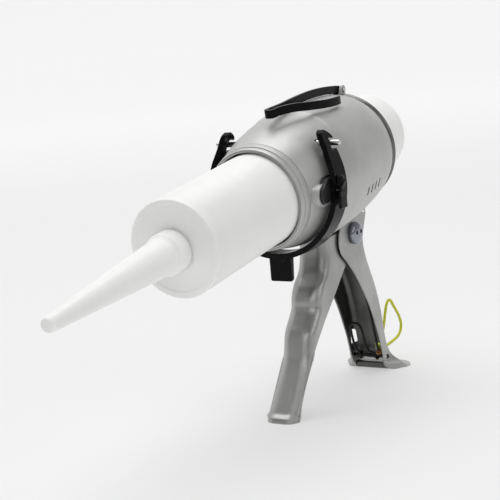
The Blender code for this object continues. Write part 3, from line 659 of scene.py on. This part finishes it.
def push_sleeve():
    end = SLEEVE_END
    profile = [(23.2, 112.6, 0.3), (21.6, 112.6), (21.6, end - 3.4), (22.3, end - 3.4), (22.3, end, 0.2),
               (22.8, end, 0.3), (23.2, end - 0.7, 0.3)]
    part("push_sleeve", lathe(eased(profile, True), 128), BARREL, "plunger", "white_plastic", angle=50)
    cap = [(2.2, end - 0.2), (18.0, end - 0.2, 0.6), (18.6, end - 0.8, 0.6), (20.2, end - 0.8, 0.6),
           (20.8, end - 0.2, 0.5), (21.9, end - 0.2, 0.2), (21.9, end - 3.0), (21.3, end - 3.0),
           (21.3, end - 5.6), (19.7, end - 5.6), (19.7, end - 2.4), (2.2, end - 2.4)]
    part("sleeve_end_cap", lathe(eased(cap, True), 96), BARREL, "plunger", "white_plastic", angle=50)


# ---------------------------------------------------------------- housing

# The shell's outer line (radius, s), from the rear to the front
SHELL = [(31.2, 180.4), (33.0, 175.0), (34.8, 164.0), (36.2, 150.0), (36.9, 134.0),
         (36.9, 125.6), (36.2, 121.5), (35.0, 111.5), (32.6, 97.5), (28.9, HOUSING_FRONT)]


def shell_line(extra=0.0):
    return [(point[0] + extra, point[1]) for point in smooth(SHELL, 5)]


def housing():
    bead = [(29.6, 184.0), (30.9, 183.9), (31.7, 183.4), (32.0, 182.6), (31.8, 181.8), (31.2, 181.2),
            (30.9, 180.9)]
    outer = [(28.4, HOUSING_END), *bead, *shell_line()]
    inner = [(27.4, HOUSING_FRONT), (27.4, 90.0), (30.2, 118.0), (30.2, 128.4), (24.0, 128.4), (24.0, 131.6),
             (30.5, 131.6), (30.5, 172.6), (28.4, 174.6)]
    shell = lathe(outer + inner, 128)
    # Faces behind REAR_BAND_S and outside REAR_BAND_R take the second look, dark: painted shade of a groove
    # ahead of the bead
    for face in shell.faces:
        middle = face.calc_center_median()
        face.material_index = int(middle.z > REAR_BAND_S and middle.to_2d().length > REAR_BAND_R)
    body = solid("barrel_housing_detail", shell, BARREL)
    body.data.materials.append(LOOKS["cast_aluminium"])
    body.data.materials.append(LOOKS["rear_band_painted_shade"])

    # The keel between the handle's walls, and the clip's lug with its two cheeks
    top = [to_stand(s, -31.4) for s in (166.0, 174.0)]
    keel = [(spot.y, spot.z) for spot in top] + [(176.6, 96.0), (169.0, 95.0)]
    join(body, (slab(keel, -9.7, 9.7), STAND))
    s, height = CLIP_HINGE
    lug = [(s - 5.5, -height + 4.6), *lug_top(s, height), (s + 0.4, -height + 4.6)]
    for x in (-2.45, 2.45):
        join(body, (slab([(-b, a) for a, b in reversed(lug)], x - 0.75, x + 0.75), BARREL_PLATE))

    # On each flank, a raised pad hollowed for the hoop's pivot block, and the handle screw's seat
    pad = [*arc((91.0, 1.05), 5.95, 270, 90, 20), (99.5, 7.0), (99.5, -4.9)]
    hollow = [*arc((91.1, 1.0), 4.75, 250, 90, 20), (107.2, 5.75), (107.2, -7.3), (94.5, -7.3)]
    for side in (-1, 1):
        low, high = sorted((28.6 * side, 33.42 * side))
        join(body, (pad_block(pad, low, high), BARREL))
        low, high = sorted((31.0 * side, 40.0 * side))
        cut(body, (pad_block(hollow, low, high), BARREL))
        seat = [(0, 4), (2.9, 4), (2.9, -0.4), (0, -0.4)]
        cut(body, (turned_across(seat, side, (HANDLE_HALF * side, *HANDLE_SCREW), 32), STAND))

    # Slots for the release pins and the trigger's ears, holes for the handle screws and the clip's pin
    cut(body, (block((-42, -24.55, 105.9), (42, -20.65, 114.4)), BARREL),
        (block((-10.2, 20, 146.5), (10.2, 42, 163.6)), BARREL),
        (drill(1.85, 20, (0, *HANDLE_SCREW)), STAND),
        (drill(1.45, 8, (0, -height, s)), BARREL))

    # Narrow windows low on each rear flank: pockets about 2 mm deep, which follow the shell as it narrows
    for angle in (159, 21):
        spin = BARREL @ Matrix.Rotation(math.radians(angle), 4, "Z")
        for i in range(WINDOW_COUNT):
            at = WINDOW_START + WINDOW_STEP * i
            bottom = 35.0 - 0.35 * i
            cut(body, (block((bottom, -2.6, at), (40.0, 2.6, at + WINDOW_WIDE)), spin))
    soften(body, 0.4, 2, 38)
    dress(body, "frame", "cast_aluminium", nodes=("barrel_housing",), angle=40, even=True)


def lug_top(s, height):
    """The round top of the clip's lug, about its hinge."""
    turns = [math.radians(a) for a in range(120, -61, -15)]
    return [(s + 2.9 * math.cos(a), -height - 2.9 * math.sin(a)) for a in turns]


# As BARREL, with its second axis up, so a plate's outline is (up, s)
BARREL_PLATE = BARREL @ Matrix(((1, 0, 0, 0), (0, -1, 0, 0), (0, 0, 1, 0), (0, 0, 0, 1)))


def pad_block(outline, low, high):
    """A flank outline (s, down) given thickness across the gun."""
    return slab([(down, s) for s, down in outline], low, high)


def closure():
    bezel = [(27.1, 88.6), (27.1, 84.3), (28.9, 84.3, 0.1), (28.45, 80.9, 0.3), (27.75, 80.75, 0.1),
             (27.7, 80.2, 0.1), (28.1, 79.95, 0.2), (27.75, 77.9, 0.4), (27.25, 77.5, 0.15),
             (27.1, 78.1, 0.1), (26.8, 78.1, 0.1), (26.65, 77.5, 0.15), (26.2, 77.6, 0.2), (26.0, 78.2, 0.2),
             (26.0, 88.6)]
    part("front_bezel", lathe(eased(bezel, True), 144), BARREL, "frame", "cast_aluminium", angle=50)
    ring = [(25.3, 175.4), (28.05, 175.4), (28.05, 184.35), (29.6, 184.35, 0.4), (29.6, 185.5, 0.4),
            (25.3, 185.0, 0.3)]
    part("rear_retaining_ring", lathe(eased(ring, True), 128), BARREL, "frame", "cast_aluminium", angle=50,
         cuts=[(block((-1.6, -30, 174), (1.6, -24.5, 186)), BARREL)])
    bush = [(23.55, 185.6, 0.3), (23.55, 175.4), (24.9, 175.4), (24.9, 184.6), (26.2, 184.6, 0.2),
            (26.2, 185.6, 0.3)]
    part("rear_guide_bush", lathe(eased(bush, True), 128), BARREL, "frame", "black_plastic", angle=50,
         cuts=[(block((-1.6, -30, 183), (1.6, -24.75, 187)), BARREL)])


# ---------------------------------------------------------------- handles

def channel(stations, radius, shift):
    """A U-section pressing with round free edges. A station is web y, z, edge y, z, half, wall, web wall."""
    sections = []
    for row in smooth(stations, PRESSING_STEPS):
        web_y, web_z, edge_y, edge_z, half, wall, web_wall = row
        web = Vector((0, web_y, web_z))
        reach = Vector((0, edge_y, edge_z)) - web
        depth = reach.length
        inward = reach.normalized()
        lip = min(wall / 2, 0.7)
        section = []
        section += arc((-half + lip, depth - lip), lip, 90, 180, 3)
        section += arc((-half + radius, radius), radius, 180, 270, CORNER_STEPS)
        section += arc((half - radius, radius), radius, 270, 360, CORNER_STEPS)
        section += arc((half - lip, depth - lip), lip, 0, 90, 3)
        section += arc((half - wall + lip * 0.9, depth - lip), lip * 0.9, 90, 180, 3)
        side = radius - wall
        front = radius - web_wall
        for turn in range(CORNER_STEPS + 1):
            angle = math.radians(90 * turn / CORNER_STEPS)
            section.append((half - radius + side * math.cos(angle), radius - front * math.sin(angle)))
        for turn in range(CORNER_STEPS + 1):
            angle = math.radians(90 + 90 * turn / CORNER_STEPS)
            section.append((-half + radius + side * math.cos(angle), radius - front * math.sin(angle)))
        section += arc((-half + wall - lip * 0.9, depth - lip), lip * 0.9, 0, 90, 3)
        sections.append([shift(Vector((x, 0, 0)) + web + inward * v) for x, v in section])
    # The section's second half runs along the inside, up to the last point, on the edge, and but for the foot
    # takes the painted shade
    columns = len(sections[0])
    return loft(sections, range(columns // 2, columns - 1))


def trigger():
    web = [(131.4, 91.0), (131.2, 86.0), (130.2, 79.5), (127.4, 72.5), (121.2, 66.5), (117.6, 60.5),
           (116.4, 54.5), (111.8, 48.5), (107.2, 43.0), (105.2, 37.0), (103.0, 29.0), (98.4, 21.0),
           (92.6, 13.0), (86.6, 5.6), (81.4, 0.0)]
    edge = [(165.5, 94.2), (168.6, 88.0), (164.5, 80.6), (156.6, 74.6), (148.0, 67.6), (140.4, 60.6),
            (132.6, 54.0), (125.4, 47.8), (119.4, 41.8), (114.2, 36.6), (108.2, 30.0), (102.6, 23.2),
            (96.8, 15.6), (91.6, 8.0), (87.0, 0.0)]
    half = [9.6] * 8 + [9.5, 9.4, 9.3, 9.2, 9.1, 9.2, 9.6]
    rows = [(*w, *e, h, 1.4, 1.9) for w, e, h in zip(web, edge, half)]
    foot = rows.pop()
    ankle = rows[-1]
    rows += [tuple(a + (b - a) * t for a, b in zip(ankle, foot)) for t in (0.35, 0.5, 0.65, 0.8, 0.9)]
    rows.append(foot)

    def hem(point):
        """A rolled hem just above the floor."""
        swell = math.exp(-((point.z - 2.4) / 1.0) ** 2)
        return Vector((point.x * (1 + 0.06 * swell), point.y - 0.8 * swell, point.z))

    nose = to_stand(ROLLER_S, -ROLLER_DROP)
    ear = [*arc((nose.y, nose.z), 2.6, 200, 0, 14), (166.5, 93.0), (166.0, 86.0), (156.0, 86.0),
           (154.6, 91.0)]
    joins = [(slab(ear, side * 8.9 - 0.55, side * 8.9 + 0.55), STAND) for side in (-1, 1)]
    cuts = [(drill(3.35, 20, (0, *PIVOT), steps=40), STAND),
            (drill(1.55, 20, (0, nose.y, nose.z)), STAND)]
    # The inside of the channel takes a dark copy of the alloy: painted shade
    part("trigger", channel(rows, 6.4, hem), STAND, "trigger", "pressed_alloy", cuts=cuts, joins=joins,
         angle=38, even=True, inside="pressed_painted_shade")


def rear_handle():
    web = [(182.0, 103.0), (182.2, 98.0), (179.0, 91.5), (176.4, 84.0), (177.6, 76.0), (181.8, 66.0),
           (187.0, 55.5), (191.0, 45.0), (194.0, 33.5), (196.2, 21.0), (198.6, 11.0), (202.6, 5.6),
           (208.4, 2.4), (215.6, 0.0)]
    edge = [(152.0, 98.6), (146.6, 94.0), (144.4, 87.0), (146.4, 80.0), (153.2, 73.6), (161.0, 65.4),
            (168.6, 55.2), (176.0, 43.8), (181.6, 32.0), (186.2, 20.6), (188.8, 11.4), (190.0, 6.6),
            (192.0, 2.8), (195.4, 0.0)]
    wall = [1.4] * 11 + [1.9, 2.6, 3.4]
    back = [1.4] * 11 + [2.4, 4.0, 6.0]
    rows = [(*w, *e, HANDLE_HALF, t, b) for w, e, t, b in zip(web, edge, wall, back)]

    def flare(point):
        """The foot spreads sideways, its outer corners drawn forward, and ends flat on the floor."""
        back_by = min(max((point.y - 189) / 16, 0), 1)
        low_by = min(max((24 - point.z) / 24, 0), 1)
        x = point.x * (1 + 0.8 * back_by * back_by * (3 - 2 * back_by) * low_by ** 2)
        wide = max(abs(x) - 11, 0)
        return Vector((x, point.y - 0.07 * wide ** 2 * back_by, max(point.z, 0)))

    holes = ((3.35, PIVOT), (1.85, HANDLE_SCREW), (1.45, LOCK_PIN))
    cuts = [(drill(radius, 24, (0, *place), steps=32), STAND) for radius, place in holes]

    # Slots through the web at the foot: one across it, the cord's notch, and one in the left corner
    cuts += [(soft_box((-9.4, 197.3, 3.0), (8.2, 206.5, 6.6), 1.0), STAND),
             (soft_box((2.4, 190.0, 9.6), (7.4, 208.0, 15.6), 1.4), STAND),
             (soft_box((-15.0, 189.9, 15.6), (-8.6, 206.0, 24.4), 1.6), STAND)]
    # The handle's upper edge follows the housing
    roof = [(0, HOUSING_END + 4), (32.4, HOUSING_END + 4), (32.4, 181.6), *shell_line(GAP),
            (0, HOUSING_FRONT)]
    cuts.append((lathe(roof, 96), BARREL))
    # The inside of the channel takes a dark copy of the alloy: painted shade
    part("rear_handle", channel(rows, 5.0, flare), STAND, "frame", "pressed_alloy", cuts=cuts, angle=38,
         even=True, inside="pressed_painted_shade", joins=[(foot_bar(), STAND)])


def foot_bar():
    """The bar across the front of the foot, dark all over: painted shade."""
    outline = eased([(194.2, 0.15, 0.8), (197.0, 0.15, 0.4), (197.0, 4.0, 0.6), (194.2, 4.0, 1.2)], True)
    bar = slab(outline, -10.4, 10.4)
    # Every face takes the second look, the painted shade
    for face in bar.faces:
        face.material_index = 1
    return bar


def soft_box(low, high, radius):
    """A box whose edges along y are rounded."""
    corners = [(low[0], low[2], radius), (high[0], low[2], radius),
               (high[0], high[2], radius), (low[0], high[2], radius)]
    outline = eased(corners, True)
    return loft([[Vector((x, y, z)) for x, z in outline] for y in (low[1], high[1])])


def fasteners():
    head = [(0, 3.2), (4.6, 3.05), (5.9, 2.4, 0.5), (6.35, 1.5, 0.4), (6.35, 0, 0.2), (3.0, 0),
            (3.0, -27.6, 0.4), (0, -27.6)]
    dimples = []
    for offset in (-2.5, 2.5):      # either side of the bolt's middle
        spot = (HANDLE_HALF + 1.9 + GAP, PIVOT[0] + offset, PIVOT[1] + 0.6)
        dimples.append((turned_across([(0, 2), (1.3, 2), (1.15, 0.3), (0, 0)], 1, spot, 24), STAND))
    part("pivot_bolt", turned_across(eased(head), 1, (HANDLE_HALF + GAP, *PIVOT), 64), STAND, "frame",
         "bright_steel", "blued", cuts=dimples, angle=40)
    nut = [(3.3, 3.0), (4.6, 3.0), (5.9, 2.4, 0.5), (6.35, 1.5, 0.4), (6.35, 0, 0.2), (3.3, 0)]
    part("pivot_nut", turned_across(eased(nut, True), -1, (-HANDLE_HALF - GAP, *PIVOT), 64), STAND, "frame",
         "bright_steel", "blued", angle=40)
    for side, hand in ((-1, "left"), (1, "right")):
        place = (side * (HANDLE_HALF + GAP), *HANDLE_SCREW)
        head = [(0, 1.5), (1.5, 1.5, 0.3), (2.4, 0.8, 0.5), (2.4, 0, 0.1), (1.5, 0), (1.5, -8.0), (0, -8.0)]
        socket = turned_across([(0, 3), (1.05, 3), (1.05, 0.35), (0, 0.35)], side, place, 6)
        part("handle_screw_" + hand, turned_across(eased(head), side, place, 48), STAND, "frame",
             "bright_steel", cuts=[(socket, STAND)])
        inner, outer = 14.6, 37.8
        middle = side * (inner + outer) / 2
        length = (outer - inner) / 2
        pin = [(0, length), (1.2, length, 0.2), (1.5, length - 0.4, 0.2), (1.5, -length), (0, -length)]
        part("release_pin_" + hand, turned_across(eased(pin), side, (middle, -22.6, 107.9), 40), BARREL,
             "collet", "bright_steel")
        place = (side * (BAIL_RADIUS + GAP), *BAIL_PIVOT)
        cap = [(0, 1.7), (2.4, 1.62), (3.4, 1.15, 0.4), (3.9, 0.4, 0.3), (3.9, 0, 0.1), (1.75, 0),
               (1.75, -6.2), (0, -6.2)]
        slot = (block((0.6, -4.2, -0.5), (3.0, 4.2, 0.5)),
                STAND @ Matrix.Translation(place) @ Matrix.Rotation(0.5, 4, "X")
                @ Matrix.Scale(side, 4, (1, 0, 0)))
        part("bail_screw_" + hand, turned_across(eased(cap), side, place, 56), STAND, "bail",
             "black_coated_steel", cuts=[slot])


# ---------------------------------------------------------------- wires

def return_spring():
    """A leg on the trigger's web, four turns round the pivot, and a long leg down the rear handle."""
    y, z = PIVOT
    coil_r = 5.2
    turns, steps = 4, 28
    points = [(-6.0, 142.0, 83.0), (-6.0, 152.0, z - coil_r)]
    for i in range(turns * steps + 1):
        angle = math.radians(-90 + 360 * i / steps)
        points.append((-6.0 + 12.0 * i / (turns * steps),
                       y + coil_r * math.cos(angle),
                       z + coil_r * math.sin(angle)))
    points[-1] = (6.2, y + 0.6, z - coil_r)
    leg = smooth([points[-1], (6.6, 166.5, 80.6), (7.2, 170.5, 70.0), (7.8, 176.0, 56.0), (8.0, 182.6, 36.0),
                  (8.0, 187.4, 19.0), (8.0, 188.6, 13.0)], 6)
    points += [tuple(point) for point in leg[1:]]
    part("trigger_return_spring", tube(points, 0.7, 10), STAND, "frame", "spring_steel", angle=60)


def lock_bail():
    """The wire loop at the handle's foot, an eye at each end, and the pin through both eyes."""
    turns = [math.radians(-160 + 20 * i) for i in range(16)]
    eye = [(-5.4, LOCK_PIN[0] + 1.9 * math.cos(a), LOCK_PIN[1] + 1.9 * math.sin(a)) for a in turns]
    loop = [(-5.4, 190.7, 10.0), (-6.2, 189.4, 12.4), (-6.8, 187.2, 16.6), (-6.9, 184.6, 24.6),
            (-6.4, 183.4, 28.4), (-4.4, 182.8, 30.3), (-1.6, 182.6, 30.4), (0.2, 183.0, 28.6),
            (0.7, 184.6, 24.0), (0.7, 187.0, 17.0), (1.4, 188.8, 12.8), (3.4, 189.8, 11.0),
            (5.4, 190.9, 10.4)]
    run = eye + [tuple(point) for point in smooth(loop, 5)] + [(5.4, b, c) for _, b, c in reversed(eye)]
    part("lock_bail", tube(run, 0.75, 12), STAND, "lock_bail", "spring_steel", angle=60)
    pin = [(0, 10.7), (0.8, 10.7, 0.2), (1.1, 10.4, 0.2), (1.1, -10.4, 0.2), (0.8, -10.7, 0.2), (0, -10.7)]
    part("lock_bail_pin", turned_across(eased(pin), 1, (0, *LOCK_PIN), 32), STAND, "frame", "spring_steel")


# ---------------------------------------------------------------- release hoop

def hoop_line(radius):
    """From the right end's tip down round the barrel to the left end's tip."""
    lean = math.radians(BAIL_LEAN)
    reach = 18.0
    tip = (radius * math.cos(lean) - reach * math.sin(lean),
           BAIL_CENTRE_Z + radius * math.sin(lean) + reach * math.cos(lean))
    return [tip, *arc((0, BAIL_CENTRE_Z), radius, BAIL_LEAN, -180 - BAIL_LEAN, 72), (-tip[0], tip[1])]


def swung(angle):
    """Where the housing stands in the hoop's own frame when the hoop has swung by this many degrees."""
    turn = Matrix.Rotation(math.radians(angle), 4, "X")
    middle = Matrix.Translation(Vector((0, BAIL_PIVOT[0] + FRONT_Y, BAIL_PIVOT[1])) * MM)
    return middle @ turn @ middle.inverted() @ BARREL


def hoop():
    ends = hoop_line(BAIL_RADIUS) + list(reversed(hoop_line(BAIL_BORE)))
    work = loft([[Vector((x, depth, z)) for x, z in ends] for depth in (88, 112)])
    body = solid("bail_hoop_detail", work, STAND)
    front = [(94.6, 80.0), (94.6, 138.0, 6), (97.0, 147.2, 3)]
    crown = list(arc((101.2, 151.4), 4.2, 180, 80, 10))
    beak = [(104.2, 154.4), (106.6, 152.8), (107.8, 151.0, 0.5), (107.0, 150.5, 0.3), (105.2, 151.4)]
    throat = [(103.6, 151.7), (102.4, 150.7), (101.95, 149.2), (101.95, 147.4), (101.4, 145.4, 0.7),
              (102.2, 144.5, 0.7)]
    back = [(106.6, 145.5, 0.7), (106.6, 80.0)]
    side = eased(front + crown + beak + throat + back, True)
    change(body, solid("side", slab(side, -50, 50), STAND), "INTERSECT")

    # Room for the housing's shell all along the hoop's swing
    sweep = [(0, HOUSING_END), *shell_line(GAP)[:-3], (32.4, 95), (0, 95)]
    for angle in (8, 4.8):
        cut(body, (lathe(sweep, 96), swung(angle)))

    # The tab, from its side outline and its front outline
    tab = [(97.2, 88.8), (100.4, 88.8), (99.2, 76.2, 0.6), (98.2, 75.0, 0.5), (97.2, 75.0, 0.3)]
    plate = [(-6.6, 88.8), (-6.6, 75.0, 1.4), (6.6, 75.0, 1.4), (6.6, 88.8)]
    flat = solid("tab", slab(eased(tab, True), -8, 8), STAND)
    outline = eased(plate, True)
    work = loft([[Vector((x, depth, z)) for x, z in outline] for depth in (90, 110)])
    shape = solid("tab_front", work, STAND)
    change(flat, shape, "INTERSECT")
    change(body, flat, "UNION")
    for side in (-1, 1):
        cut(body, (drill(2.1, 12, (38 * side, *BAIL_PIVOT), side, 32), STAND))
    soften(body, 0.45, 3, 40)
    dress(body, "bail", "black_coated_steel", nodes=("bail_hoop",), angle=45, even=True)


def hoop_blocks():
    """On each side the stop that rides on the hoop, and the block in the housing's flank it pivots in."""
    for side, hand in ((-1, "left"), (1, "right")):
        low, high = sorted((side * (BAIL_RADIUS + 0.3), side * (BAIL_RADIUS + 2.0)))
        stop = solid("bail_stop_%s_detail" % hand, block((low, 94.8, 115.0), (high, 102.0, 124.0)), STAND)
        soften(stop, 0.6)
        dress(stop, "bail", "black_coated_steel", nodes=("bail_stop_" + hand,), even=True)

        low, high = sorted((31.35 * side, 34.9 * side))
        outline = [*arc((91.1, 1.0), 4.35, 245, 90, 16), (106.8, 5.2), (106.8, -6.6), (95.0, -6.6)]
        lug = solid("bail_pivot_block_%s_detail" % hand, pad_block(outline, low, high), BARREL)
        cut(lug, (drill(2.1, 6, (side * 36.0, *BAIL_PIVOT), side, 32), STAND))
        soften(lug, 0.4)
        dress(lug, "frame", "black_plastic", nodes=("bail_pivot_block_" + hand,), even=True)


# ---------------------------------------------------------------- top clip

def top_clip():
    """Bent strip on edge: one leg along the housing's crest, the other spread towards the right side."""
    s, height = CLIP_HINGE
    # x, distance along the barrel, and mid-height of the strip
    path = [(0.0, 186.2, 33.4), (0.0, 175.0, 35.7), (0.0, 164.0, 37.5), (0.0, 150.0, 39.0),
            (0.0, 134.0, 39.7), (-0.2, 119.0, 39.8), (-0.6, 105.0, 40.3), (0.2, 102.0, 40.3),
            (1.8, 101.0, 40.3), (3.6, 102.4, 40.2), (5.4, 107.0, 40.6), (9.6, 115.0, 40.2),
            (14.0, 123.0, 38.9), (17.2, 136.0, 36.9), (18.0, 147.0, 35.7), (17.2, 152.0, 35.4)]
    path = smooth([Vector((x, -h, along)) for x, along, h in path], 6)
    sections = []
    tall, thick, curve = 4.6, 2.2, 0.5
    for before, point, after in zip([path[0], *path], path, [*path[1:], path[-1]]):
        ahead = after - before
        side = Vector((ahead.z, 0, -ahead.x)).normalized()
        # Rounded off over the last 2 mm
        left = (path[-1] - point).length / 2.0
        end = math.sqrt(max(1 - (1 - left) ** 2, 0.04)) if left < 1 else 1
        high, deep = tall / 2 * end, thick / 2 * end
        corners = [(deep, high, curve), (deep, -high, curve), (-deep, -high, curve), (-deep, high, curve)]
        outline = eased(corners, True, 3)
        sections.append([point + side * u + Vector((0, v, 0)) for u, v in outline])
    tail = [(s + 1.6, height + 1.2), (s + 4.2, height + 0.6), (s + 4.2, height - 7.9),
            (s + 2.3, height - 7.9), (s + 2.3, height - 2.0), (s + 1.6, height - 1.6)]
    joined = (slab([(-b, a) for a, b in tail], -0.95, 0.95), BARREL)
    eye = (drill(1.45, 6, (0, -height, s)), BARREL)
    part("release_clip", loft(sections), BARREL, "clip", "black_coated_steel", joins=[joined], cuts=[eye],
         angle=40, even=True)
    pin = [(0, 4.2), (0.8, 4.2, 0.2), (1.1, 3.9, 0.2), (1.1, -3.9, 0.2), (0.8, -4.2, 0.2), (0, -4.2)]
    part("clip_hinge_pin", turned_across(eased(pin), 1, (0, -height, s), 32), BARREL, "frame", "bright_steel")


# ---------------------------------------------------------------- everything that stays as CAD

PLAIN = {
    "bright_steel": ("drive_ring", "brake_ring", "brake_push_pin", "drive_roller", "roller_pin",
                     "pivot_bush", "plunger_disc", "plunger_screw", "plunger_nut"),
    "spring_steel": ("drive_spring", "brake_spring"),
    "black_plastic": ("collet",),
    "white_plastic": ("cartridge_piston",),
}


def paint_cad():
    for slot, names in PLAIN.items():
        for name in names:
            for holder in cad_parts[name].material_slots:
                holder.material = LOOKS[slot]


camera()
lights()
studio_floor()
LOOKS = materials()
lanyard()
cartridge()
push_sleeve()
housing()
closure()
trigger()
rear_handle()
fasteners()
return_spring()
lock_bail()
hoop()
hoop_blocks()
top_clip()
paint_cad()
